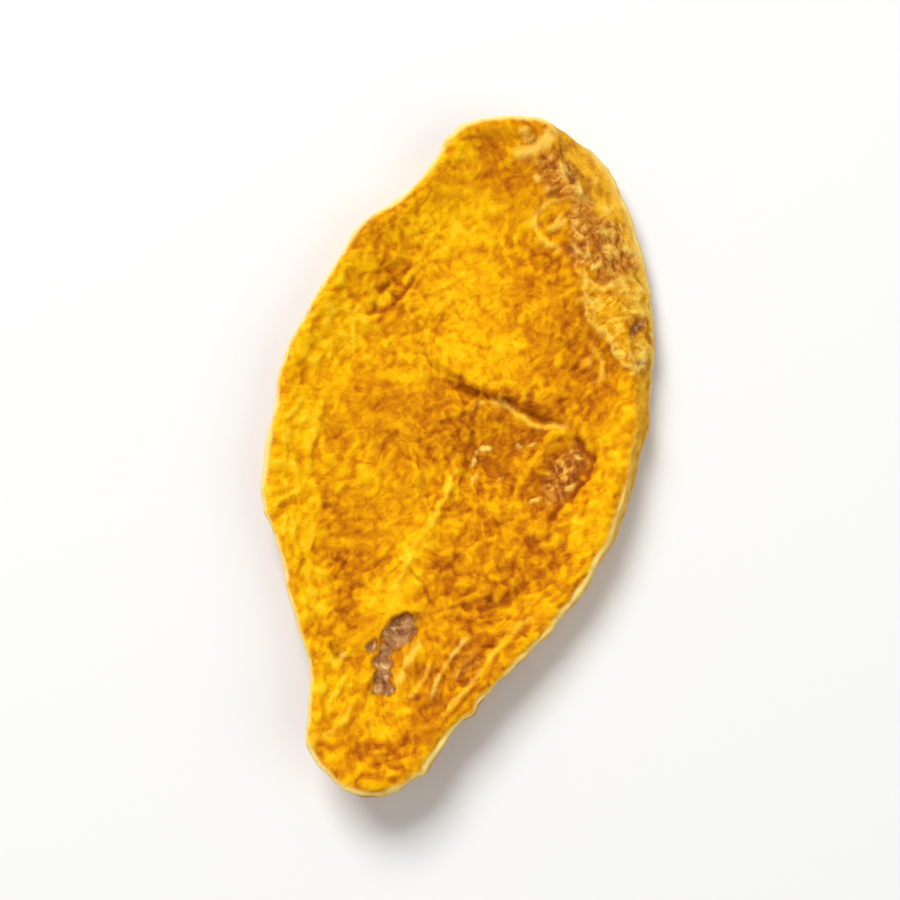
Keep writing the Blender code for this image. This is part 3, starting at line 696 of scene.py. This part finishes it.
def cut_face(edge, rings):
    """Plan points and upward cells of one cut face: rings of cells round a four-sided block in the middle."""
    around = CELLS_AROUND
    starts = np.cumsum([0, CELLS_ALONG, CELLS_ACROSS, CELLS_ALONG])
    centre = edge.mean(axis=0)
    block = core_block(centre + CORE_SHARE * (edge[starts] - centre))
    share = (np.arange(rings + 1) / rings)[:, None, None] ** RING_CROWDING
    ring_points = edge + (np.concatenate(sides_of(block)) - edge) * share
    ids = np.arange((rings + 1) * around).reshape(rings + 1, around)
    numbers = np.full((CELLS_ALONG + 1, CELLS_ACROSS + 1), -1)
    for start, side in zip(starts, sides_of(numbers)):
        side[:] = ids[-1, start : start + len(side)]
    inner = numbers < 0
    numbers[inner] = ids.size + np.arange(inner.sum())
    points = np.vstack([ring_points.reshape(-1, 2), block[inner]])
    following = np.roll(ids, -1, axis=1)
    bands = np.stack([ids[1:], ids[:-1], following[:-1], following[1:]], axis=-1).reshape(-1, 4)
    square = np.stack([numbers[:-1, :-1], numbers[1:, :-1], numbers[1:, 1:], numbers[:-1, 1:]], axis=-1)
    return points, np.vstack([bands, square.reshape(-1, 4)])


def bark_wall(upper, lower, rows):
    """Rows of points between the two rims, bulging outwards."""
    share = np.arange(1, rows)[:, None, None] / rows
    wall = upper + (lower - upper) * share
    outward = np.column_stack([outward_normals(upper[:, :2]), np.zeros(len(upper))])
    return wall + outward * (BARK_BULGE * np.sin(math.pi * share))


def vertex_normals(vertices, faces):
    a, b, c, d = (vertices[faces[:, n]] for n in range(4))
    across = np.cross(c - a, d - b)
    total = np.zeros_like(vertices)
    for n in range(4):
        np.add.at(total, faces[:, n], across)
    return total / np.linalg.norm(total, axis=1, keepdims=True)


def neighbour_mean(values, faces, times):
    """Each vertex's value averaged with its neighbours', several times over."""
    starts = faces.reshape(-1)
    ends = np.roll(faces, -1, axis=1).reshape(-1)
    size = len(values)
    count = np.bincount(starts, minlength=size) + np.bincount(ends, minlength=size)
    for _ in range(times):
        total = np.bincount(starts, values[ends], size) + np.bincount(ends, values[starts], size)
        values = (values + total / count) / 2
    return values


def net(places):
    """Ridges between shrunken cells: 1 on a ridge, 0 in a cell."""
    shift = np.column_stack([noise_at(places, NET_WARP_STEP, level) for level in NET_WARP_LEVELS])
    scaled = places / NET_CELL + NET_WARP * shift
    gap = np.empty(len(places))
    for index, (x, y, z) in enumerate(scaled):
        near = noise.voronoi((x, y, z))[0]
        gap[index] = near[1] - near[0]
    return band(gap * NET_CELL, 0.0, NET_RIDGE)


def strokes(places):
    """Short strokes, -1 to 1, in three directions, each direction taking its own patches of the face."""
    shift = np.column_stack([noise_at(places, STROKE_WARP_STEP, level) for level in STROKE_WARP_LEVELS])
    warped = places + STROKE_WARP * shift
    total = np.zeros(len(places))
    weights = np.zeros(len(places))
    for degrees, level in STROKE_DIRECTIONS:
        weight = np.exp(STROKE_SORTING * noise_at(places, PATCHES_STEP, level))
        total += weight * drawn_noise(warped, degrees, STROKE_LENGTH, STROKE_WIDTH, level)
        weights += weight
    return np.tanh(total / weights / STROKE_SOFTNESS)


def winding_lines(places, spacing, half_width, level):
    """1 on thin lines that wind about over the surface, 0 between them."""
    return band(noise_at(places, spacing, level), 0.0, half_width)


def drawn_noise(places, degrees, length, width, level):
    """Noise drawn out along one direction of the plan."""
    along, across = turned(places[:, :2], (0.0, 0.0), degrees)
    return noise_at(np.column_stack([along / length, across / width, places[:, 2] / width]), 1.0, level)


def slice_mesh():
    """Vertices and faces of the smooth form, and where each vertex lies on it."""
    around = CELLS_AROUND
    upper_edge, lower_edge, leaning = leaning_edges(slice_outline())
    step = np.arange(around) * OUTLINE_SAMPLES // around
    upper_plan, upper_cells = cut_face(upper_edge[step], TOP_RINGS)
    lower_plan, lower_cells = cut_face(lower_edge[step], UNDER_RINGS)
    upper_z, upper_distance = upper_height(upper_plan, upper_edge, leaning)
    lower_z, lower_distance = lower_height(lower_plan, lower_edge)
    upper = np.column_stack([upper_plan, upper_z])
    lower = np.column_stack([lower_plan, lower_z])
    wall = bark_wall(upper[:around], lower[:around], WALL_ROWS)

    wall_start = len(upper) + len(lower)
    rows = [np.arange(around)]
    rows += [wall_start + row * around + np.arange(around) for row in range(WALL_ROWS - 1)]
    rows += [len(upper) + np.arange(around)]
    rows = np.array(rows)
    following = np.roll(rows, -1, axis=1)
    wall_cells = np.stack([rows[:-1], rows[1:], following[1:], following[:-1]], axis=-1).reshape(-1, 4)
    faces = np.vstack([upper_cells, lower_cells[:, ::-1] + len(upper), wall_cells])
    base = np.vstack([upper, lower, wall.reshape(-1, 3)])

    across_wall = np.linalg.norm(upper[:around] - lower[:around], axis=1)
    down = np.arange(1, WALL_ROWS)[:, None] / WALL_ROWS
    where = {
        "upper": np.arange(len(base)) < len(upper),
        "lower": (np.arange(len(base)) >= len(upper)) & (np.arange(len(base)) < wall_start),
        "inward": np.concatenate([upper_distance, lower_distance, np.zeros(len(base) - wall_start)]),
        "below": np.concatenate([np.zeros(wall_start), (down * across_wall).reshape(-1)]),
        "above": np.concatenate([np.zeros(wall_start), ((1 - down) * across_wall).reshape(-1)]),
        "leaning": leaning[nearest_on(base[:, :2], upper_edge)[0]],
    }
    return base, faces, where


def line_share(points, line, half_width):
    """1 on a line and 0 away from it, tapering at the line's ends."""
    away, along = line_distance(points, smooth_line(line, 4))
    return tapered(along, *LINE_TAPER) * band(away, 0.0, half_width)


def oval_reach(points, centre, radii, turn):
    """Distance from an oval's centre, where 1 is its border."""
    across, along = turned(points, centre, turn)
    return np.hypot(across / radii[0], along / radii[1])


def zones(points, places):
    """How strongly each point lies in one of the soft-edged places."""
    total = np.zeros(len(points))
    for centre, radii, strength in places:
        away = (((points - centre) / radii) ** 2).sum(axis=1)
        total = np.maximum(total, strength * np.exp(-(away**1.5)))
    return total


def raise_mark(marks, name, values):
    marks[name] = np.maximum(marks[name], values)


def add_lines(plan, offset, marks):
    """Creases and welts. Returns how whole they are at each point, and how far the welts brighten it."""
    whole = swinging(noise_at(plan, *BREAKS), *WHOLENESS)
    crease_plan = wobbled(plan, *CREASE_WOBBLE)
    welt_plan = wobbled(plan, *WELT_WOBBLE)
    for line, depth, half_width, darkness in CREASES:
        share = line_share(crease_plan, line, half_width) * whole
        offset -= depth * share
        # The creases' darkness is partly their brown and partly painted shade in them
        raise_mark(marks, "crease_brown_and_shade", np.clip(darkness * share, 0.0, 1.0))
    brightened = np.zeros(len(plan))
    for line, height, half_width, paleness, brightness in WELTS:
        share = line_share(welt_plan, line, half_width)
        offset += height * share * (WELT_LEAST + (1.0 - WELT_LEAST) * whole)
        raise_mark(marks, "pale", paleness * share * whole)
        brightened = np.maximum(brightened, brightness * share)
    return whole, brightened


def add_flecks_and_pits(plan, offset, marks, whole):
    fleck_plan = wobbled(plan, *FLECK_WOBBLE)
    for centre, half_length, half_width, turn, paleness in FLECKS:
        reach = oval_reach(fleck_plan, centre, (half_length, half_width), turn)
        share = 1.0 - smooth_step(reach, *FLECK_BORDER)
        offset += FLECK_HEIGHT * share
        raise_mark(marks, "pale", paleness * share)
    reaches = [oval_reach(fleck_plan, *shape) for *shape, _ in PITS]
    depths = [depth * (1.0 - smooth_step(reach, *PIT_WALL)) for reach, (*_, depth) in zip(reaches, PITS)]
    offset -= np.max(depths, axis=0)
    reach = np.min(reaches, axis=0)
    raise_mark(marks, "crease_brown_and_shade", PIT_SHADOW * band(reach, *PIT_SHADOW_BAND) * whole)
    marks["grey"] = 1.0 - smooth_step(reach, *PIT_GREY_BORDER)


def add_flap_and_stains(plan, offset, marks, whole):
    """The torn flap and the mauve zones. Returns how far each point lies in the brown patch."""
    flap_plan = wobbled(plan, *FLAP_WOBBLE)
    flap_in = inside_distance(flap_plan, FLAP)
    flap = smooth_step(flap_in, *FLAP_BORDER)
    flap_edge = band(flap_in, *FLAP_EDGE_BAND) * whole
    offset += FLAP_HEIGHT * flap + FLAP_EDGE_HEIGHT * flap_edge
    raise_mark(marks, "pale", FLAP_EDGE_PALENESS * flap_edge)
    raise_mark(marks, "crease_brown_and_shade", FLAP_SHADOW * band(flap_in, *FLAP_SHADOW_BAND))
    marks["flap"] = flap
    mauve = sum(smooth_step(inside_distance(flap_plan, border), *MAUVE_BORDER) for border in MAUVE)
    marks["mauve"] = np.clip(mauve, 0, 1)
    offset -= MAUVE_DEPTH * marks["mauve"]
    return smooth_step(inside_distance(flap_plan, PATCH), *PATCH_BORDER)


def upper_marks(plan):
    """Relief, stains and painted shade of the features that belong to places on the upper face."""
    offset = np.zeros(len(plan))
    marks = {"crease_brown_and_shade": np.zeros(len(plan)), "pale": np.zeros(len(plan))}
    whole, brightened = add_lines(plan, offset, marks)
    add_flecks_and_pits(plan, offset, marks, whole)
    patch = add_flap_and_stains(plan, offset, marks, whole)
    zone_plan = wobbled(plan, *ZONE_WOBBLE)
    marks["bright"] = np.maximum(zones(zone_plan, BRIGHT), brightened)
    marks["brown"] = np.maximum(zones(zone_plan, BROWN), PATCH_BROWN * patch)
    return offset, marks


def highlight_line(distance, ripple, width, afterglow):
    """Painted highlight along an edge: 1 along it, fading out past the line's width, with a fainter band
    beyond it.
    """
    line = 1.0 - smooth_step(distance + ripple, width - HIGHLIGHT_SOFTNESS[0], width + HIGHLIGHT_SOFTNESS[1])
    beyond = 1.0 - smooth_step(distance + 2.0 * ripple, width, width + HIGHLIGHT_AFTERGLOW_WIDTH)
    return np.maximum(line, afterglow * beyond)


def edge_highlight_and_fold_shadow(base, where, top, wall):
    """How far the painted highlight, a pale line along an edge, covers each vertex, and the painted shadow of
    the fold.

    The line runs along the upper rim, except where the bark leans out: there it runs along the lower one.
    """
    leaning = smooth_step(where["leaning"], *HIGHLIGHT_LEAN)
    ripple = RIPPLE_SIZE * noise_at(base, *RIPPLES)
    face_highlight = highlight_line(where["inward"], ripple, *FACE_HIGHLIGHT)
    upper_highlight = np.where(top, face_highlight, highlight_line(where["below"], ripple, *UPPER_HIGHLIGHT))
    lower_highlight = np.where(wall, highlight_line(where["above"], ripple, *LOWER_HIGHLIGHT), face_highlight)
    # The painted highlight along whichever edge shows
    rim = np.maximum(
        (1.0 - leaning) * upper_highlight * (top | wall), np.maximum(leaning, LOWER_HIGHLIGHT_LEAST) * lower_highlight * ~top
    )
    fold = band(where["inward"] + where["below"] + ripple, *FOLD_SHADOW_BAND)
    return rim, FOLD_SHADOW * leaning * fold * (top | wall)


def surface_relief(base, bark):
    """Height of the relief that covers the whole surface, and the patterns in it that the material reads."""
    strength = swinging(noise_at(base, PATCHES_STEP, STRENGTH_LEVEL), *STRENGTH)
    stroke = strokes(base)
    gaps = smooth_step(noise_at(base, *WORM_GAPS), *WORM_GAPS_BORDER)
    crests = winding_lines(base, *WORM_CRESTS) * (1.0 - gaps)
    furrows = winding_lines(base, *WORM_FURROWS) * gaps
    relief = NET_HEIGHT * (net(base) - NET_MEAN) + STROKE_HEIGHT * stroke
    relief += CREST_HEIGHT * crests - FURROW_DEPTH * furrows
    offset = (1.0 - bark) * strength * relief
    offset += lumps(base, GRAIN, GRAIN_LEVEL) * (1.0 - GRAIN_LOST_ON_BARK * bark)
    offset += lumps(base * BARK_GRAIN, BARK_LUMPS, BARK_LEVEL) * bark
    return offset, stroke * np.clip(strength, 0, 1), crests - furrows


def placed_in_box(vertices):
    """The vertices on the flat spot, in the solid's own box."""
    bottom = FLAT_SPOT_DEPTH - MIDDLE_THICKNESS / 2
    vertices[:, 2] = np.maximum(vertices[:, 2], bottom)
    low, high = vertices.min(axis=0), vertices.max(axis=0)
    middle = np.append((low + high)[:2] / 2, low[2])
    return (vertices - middle) * CAD_SIZE / (high - low)


def fine_relief(base, faces, where):
    """The vertices with their fine relief, and the values that the material reads."""
    top = where["upper"]
    wall = ~top & ~where["lower"]
    bark = np.where(wall, 1.0, 1.0 - smooth_step(where["inward"], 0.0, BARK_BORDER))
    offset, stroke, worm = surface_relief(base, bark)

    seen = top | (wall & (where["leaning"] > SEEN_BARK_LEAN))
    marks_offset, upper_values = upper_marks(base[seen, :2])
    values = {name: np.zeros(len(base)) for name in upper_values}
    for name, numbers in upper_values.items():
        values[name][seen] = numbers
    from_edge = where["inward"] + np.minimum(where["below"], where["above"])
    offset[seen] += marks_offset * smooth_step(from_edge[seen], 0.0, MARKS_BORDER)

    under_tone = sum(size * noise_at(base, spacing, level) for spacing, size, level in UNDER_TONES)
    under_brown = np.where(wall, swinging(under_tone, *BARK_BROWN), swinging(under_tone, *UNDER_BROWN))
    values["bright"][~seen] = swinging(under_tone, *UNDER_BRIGHT)[~seen]
    values["brown"][~seen] = under_brown[~seen]

    # The painted highlight along the edges and the painted shadow of the fold
    values["rim"], fold_shadow = edge_highlight_and_fold_shadow(base, where, top, wall)
    # The painted shadow of the fold joins the creases' brown and painted shade
    values["crease_brown_and_shade"] = np.maximum(values["crease_brown_and_shade"], fold_shadow)
    # Painted shade and highlight: darker where a vertex lies below its neighbours, paler where it lies above
    # them
    cavity = offset - neighbour_mean(offset, faces, CAVITY_SPREAD)
    values["bark"] = bark
    values["crest"] = np.clip(cavity / CAVITY_DEPTH, -1.0, 1.0)
    values["stroke"] = stroke
    values["worm"] = worm
    return placed_in_box(base + vertex_normals(base, faces) * offset[:, None]), values


class Graph:
    """Short calls that add nodes to a material and join them."""

    def __init__(self, material):
        self.tree = material.node_tree
        self.shader = self.tree.nodes["Principled BSDF"]

    def node(self, kind, **settings):
        made = self.tree.nodes.new(kind)
        for name, value in settings.items():
            setattr(made, name, value)
        return made

    def feed(self, socket, value):
        if isinstance(value, bpy.types.NodeSocket):
            self.tree.links.new(value, socket)
        else:
            socket.default_value = value

    def maths(self, operation, *values):
        made = self.node("ShaderNodeMath", operation=operation)
        for socket, value in zip(made.inputs, values):
            self.feed(socket, value)
        return made.outputs[0]

    def total(self, start, *parts):
        """The start with each part added to it by its weight."""
        for part, weight in parts:
            start = self.maths("MULTIPLY_ADD", part, weight, start)
        return start

    def value_of(self, name):
        return self.node("ShaderNodeAttribute", attribute_name=name).outputs["Fac"]

    def mix(self, share, below, above):
        made = self.node("ShaderNodeMix", data_type="RGBA")
        self.feed(made.inputs["Factor"], share)
        self.feed(made.inputs["A"], below)
        self.feed(made.inputs["B"], above)
        return made.outputs["Result"]

    def stretch(self, value, low, high, to_low=0.0, to_high=1.0):
        made = self.node("ShaderNodeMapRange", interpolation_type="SMOOTHSTEP")
        for socket, number in zip(made.inputs, (value, low, high, to_low, to_high)):
            self.feed(socket, number)
        return made.outputs["Result"]

    def ramp(self, value, stops):
        made = self.node("ShaderNodeValToRGB")
        elements = made.color_ramp.elements
        while len(elements) < len(stops):
            elements.new(0.5)
        for element, (place, colour) in zip(elements, stops):
            element.position = place
            element.color = linear(colour)
        self.feed(made.inputs["Fac"], value)
        return made.outputs["Color"]

    def drawn(self, places, degrees, length, width):
        """Noise drawn out along one direction of the plan."""
        rotated = self.node("ShaderNodeVectorRotate", rotation_type="Z_AXIS")
        self.feed(rotated.inputs["Vector"], places)
        rotated.inputs["Angle"].default_value = math.radians(-degrees)
        stretched = self.node("ShaderNodeMapping")
        stretched.inputs["Scale"].default_value = (1 / length, 1 / width, 1 / width)
        self.feed(stretched.inputs["Vector"], rotated.outputs["Vector"])
        return self.noise(stretched.outputs["Vector"], 1.0, 1.5, 0.5)

    def winding_lines(self, places, pattern):
        """1 on thin lines that wind about, 0 between them."""
        away = self.maths("ABSOLUTE", self.maths("SUBTRACT", self.noise(places, *pattern), 0.5))
        return self.stretch(away, 0.04, 0.08, 1.0, 0.0)

    def warped(self, places, spacing, size):
        """The places moved about a little by noise."""
        shifted = self.node("ShaderNodeVectorMath", operation="MULTIPLY_ADD")
        self.feed(shifted.inputs[0], self.noise(places, 1 / spacing, 0.0, output="Color"))
        shifted.inputs[1].default_value = (size, size, size)
        self.feed(shifted.inputs[2], places)
        return shifted.outputs["Vector"]

    def noise(self, places, scale, detail, roughness=0.6, distortion=0.0, output="Fac"):
        made = self.node("ShaderNodeTexNoise")
        names = ("Vector", "Scale", "Detail", "Roughness", "Distortion")
        for name, value in zip(names, (places, scale, detail, roughness, distortion)):
            self.feed(made.inputs[name], value)
        return made.outputs[output]


def linear(colour):
    """A colour given as 0 to 255 on the screen, as the shader wants it."""
    shares = [value / 255 for value in colour]
    return (*(s / 12.92 if s <= 0.04045 else ((s + 0.055) / 1.055) ** 2.4 for s in shares), 1.0)


def slice_material(names):
    """The look of the slice, from its patterns and from the named values of its vertices."""
    material = bpy.data.materials.new("dried_turmeric_look")
    material.use_nodes = True
    g = Graph(material)
    mapping = g.node("ShaderNodeMapping")
    mapping.inputs["Scale"].default_value = (1 / MM, 1 / MM, 1 / MM)
    g.feed(mapping.inputs["Vector"], g.node("ShaderNodeTexCoord").outputs["Object"])
    places = mapping.outputs["Vector"]

    patterns = (BROAD, MOTTLE, FINE_GRAIN, POWDER)
    broad, mottle, grain, powder = (g.noise(places, *pattern) for pattern in patterns)
    worm_places = g.stretch(g.noise(places, *WORM_PLACES), 0.44, 0.56)
    light_worms = g.maths("MULTIPLY", g.winding_lines(places, LIGHT_WORMS), worm_places)
    elsewhere = g.maths("SUBTRACT", 1.0, worm_places)
    dark_worms = g.maths("MULTIPLY", g.winding_lines(places, DARK_WORMS), elsewhere)
    winding = g.warped(places, *FIBRE_WARP)
    lengthwise, slanting, crosswise = (g.drawn(winding, *way) for way in (LENGTHWISE, SLANTING, CROSSWISE))
    fibre = g.mix(g.stretch(g.noise(places, *SLANTING_PLACES), 0.44, 0.56), lengthwise, slanting)
    fibre = g.mix(g.stretch(g.noise(winding, *CROSSWISE_PLACES), 0.54, 0.66), fibre, crosswise)
    dashes = g.stretch(fibre, 0.43, 0.57)
    mark = {name: g.value_of(name) for name in names}

    # The cavity value paints shade into the relief's hollows and a highlight onto its ridges
    tone = g.total(0.49, (mark["bright"], 0.25), (mark["brown"], -0.22), (mark["crest"], 0.10))
    tone = g.total(tone, (mark["stroke"], 0.06), (mark["worm"], 0.08))
    for pattern, weight in ((broad, 0.08), (mottle, 0.06), (dashes, 0.085), (grain, 0.09), (powder, 0.05)):
        tone = g.total(tone, (g.maths("SUBTRACT", pattern, 0.5), weight))
    tone = g.total(tone, (dark_worms, -0.09), (light_worms, 0.09))
    flesh = g.ramp(tone, FLESH_COLOURS)

    # The cavity value paints shade and highlight into the bark's blotches too
    blotch = g.total(g.maths("MULTIPLY", grain, 0.4), (mottle, 0.75), (mark["crest"], 0.13))
    blotch = g.total(blotch, (mark["brown"], -0.11), (mark["bright"], 0.14))
    blotch = g.total(blotch, (dark_worms, -0.10), (light_worms, 0.12))
    bark = g.ramp(g.maths("SUBTRACT", blotch, 0.08), BARK_COLOURS)

    streak = g.total(g.maths("MULTIPLY", grain, 0.4), (fibre, 1.0), (dark_worms, -0.14), (light_worms, 0.20))
    streak = g.maths("SUBTRACT", streak, 0.25)
    mauve = g.ramp(g.total(streak, (mark["brown"], -0.10)), MAUVE_COLOURS)
    grey = g.ramp(streak, GREY_COLOURS)
    flap = g.ramp(streak, FLAP_COLOURS)
    pale = g.mix(grain, *(linear(colour) for colour in PALE_COLOURS))

    bark_share = g.total(mark["bark"], (g.maths("SUBTRACT", grain, 0.5), 0.5))
    colour = g.mix(g.stretch(bark_share, 0.3, 0.7), flesh, bark)
    mauve_share = g.maths("MULTIPLY", mark["mauve"], g.stretch(mottle, 0.25, 0.55, 0.40, 0.90))
    colour = g.mix(mauve_share, colour, mauve)
    colour = g.mix(g.maths("MULTIPLY", mark["flap"], 0.65), colour, flap)
    colour = g.mix(mark["pale"], colour, pale)
    colour = g.mix(mark["grey"], colour, grey)
    # Dark brown of the creases, partly painted shade, and the painted shadows of pits, flap and fold
    colour = g.mix(g.maths("MULTIPLY", mark["crease_brown_and_shade"], 0.90), colour, linear(CREASE_BROWN_AND_SHADE_COLOUR))
    # Painted highlight: a pale line along the edges
    rim = g.maths("MULTIPLY", mark["rim"], g.stretch(mottle, 0.3, 0.5, 0.6, 1.0))
    colour = g.mix(rim, colour, linear(EDGE_HIGHLIGHT_COLOUR))
    g.feed(g.shader.inputs["Base Color"], colour)
    g.feed(g.shader.inputs["Roughness"], g.stretch(grain, 0.3, 0.7, 0.78, 0.94))
    g.shader.inputs["Specular IOR Level"].default_value = 0.06

    height = g.maths("ADD", g.maths("MULTIPLY", grain, 0.06), g.maths("MULTIPLY", powder, 0.02))
    bump = g.node("ShaderNodeBump")
    bump.inputs["Strength"].default_value = 0.8
    bump.inputs["Distance"].default_value = MM
    g.feed(bump.inputs["Height"], height)
    g.feed(g.shader.inputs["Normal"], bump.outputs["Normal"])
    return material


def new_object(name, data):
    made = bpy.data.objects.new(name, data)
    bpy.context.scene.collection.objects.link(made)
    return made


def turmeric_slice():
    base, faces, where = slice_mesh()
    placed, values = fine_relief(base, faces, where)
    mesh = bpy.data.meshes.new("dried_slice")
    mesh.from_pydata([Vector(v) * MM for v in placed], [], faces.tolist())
    for name, numbers in values.items():
        layer = mesh.attributes.new(name, "FLOAT", "POINT")
        layer.data.foreach_set("value", numbers.astype(np.float32))
    mesh.shade_smooth()
    mesh.validate()
    mesh.materials.append(slice_material(values))
    piece = new_object("dried_slice", mesh)
    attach(piece, "root")
    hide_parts("turmeric_slice")


def stage():
    floor_mesh = bpy.data.meshes.new("floor")
    corners = [(x * FLOOR_REACH, y * FLOOR_REACH, 0) for x, y in ((-1, -1), (1, -1), (1, 1), (-1, 1))]
    floor_mesh.from_pydata(corners, [], [(0, 1, 2, 3)])
    material = bpy.data.materials.new("floor_paper")
    material.use_nodes = True
    shader = material.node_tree.nodes["Principled BSDF"]
    shader.inputs["Base Color"].default_value = FLOOR_COLOUR
    shader.inputs["Roughness"].default_value = FLOOR_ROUGHNESS
    floor_mesh.materials.append(material)
    new_object("floor", floor_mesh)


def area_light(name, place, size, power):
    """A square light that faces the slice. Its place and size are in metres, its power in watts."""
    data = bpy.data.lights.new(name, "AREA")
    data.size = size
    data.energy = power
    light = new_object(name, data)
    light.location = place
    light.rotation_euler = (-Vector(place)).to_track_quat("-Z", "Y").to_euler()


def lights():
    area_light("key", *KEY_LIGHT)
    area_light("fill", *FILL_LIGHT)
    world = bpy.data.worlds.new("studio")
    world.use_nodes = True
    background = world.node_tree.nodes["Background"]
    background.inputs["Color"].default_value = (1.0, 1.0, 1.0, 1.0)
    background.inputs["Strength"].default_value = SKY_STRENGTH
    bpy.context.scene.world = world
    bpy.context.scene.view_settings.view_transform = "Standard"


def camera():
    data = bpy.data.cameras.new("camera")
    data.lens = CAMERA_LENS
    data.sensor_width = SENSOR
    seen = new_object("camera", data)
    low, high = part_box("turmeric_slice")
    centre = (low + high) / 2
    elevation = math.radians(CAMERA_ELEVATION)
    roll = math.radians(CAMERA_ROLL)
    level = math.cos(elevation)
    towards = Vector((math.sin(roll) * level, -math.cos(roll) * level, math.sin(elevation)))
    distance = FRAME_MM * MM * CAMERA_LENS / SENSOR
    seen.location = centre + towards * distance
    seen.rotation_mode = "QUATERNION"
    seen.rotation_quaternion = (-towards).to_track_quat("-Z", "Y")
    data.clip_start = distance * CLIP_NEAR_SHARE
    data.clip_end = distance * CLIP_FAR_SHARE
    bpy.context.scene.camera = seen


turmeric_slice()
stage()
lights()
camera()
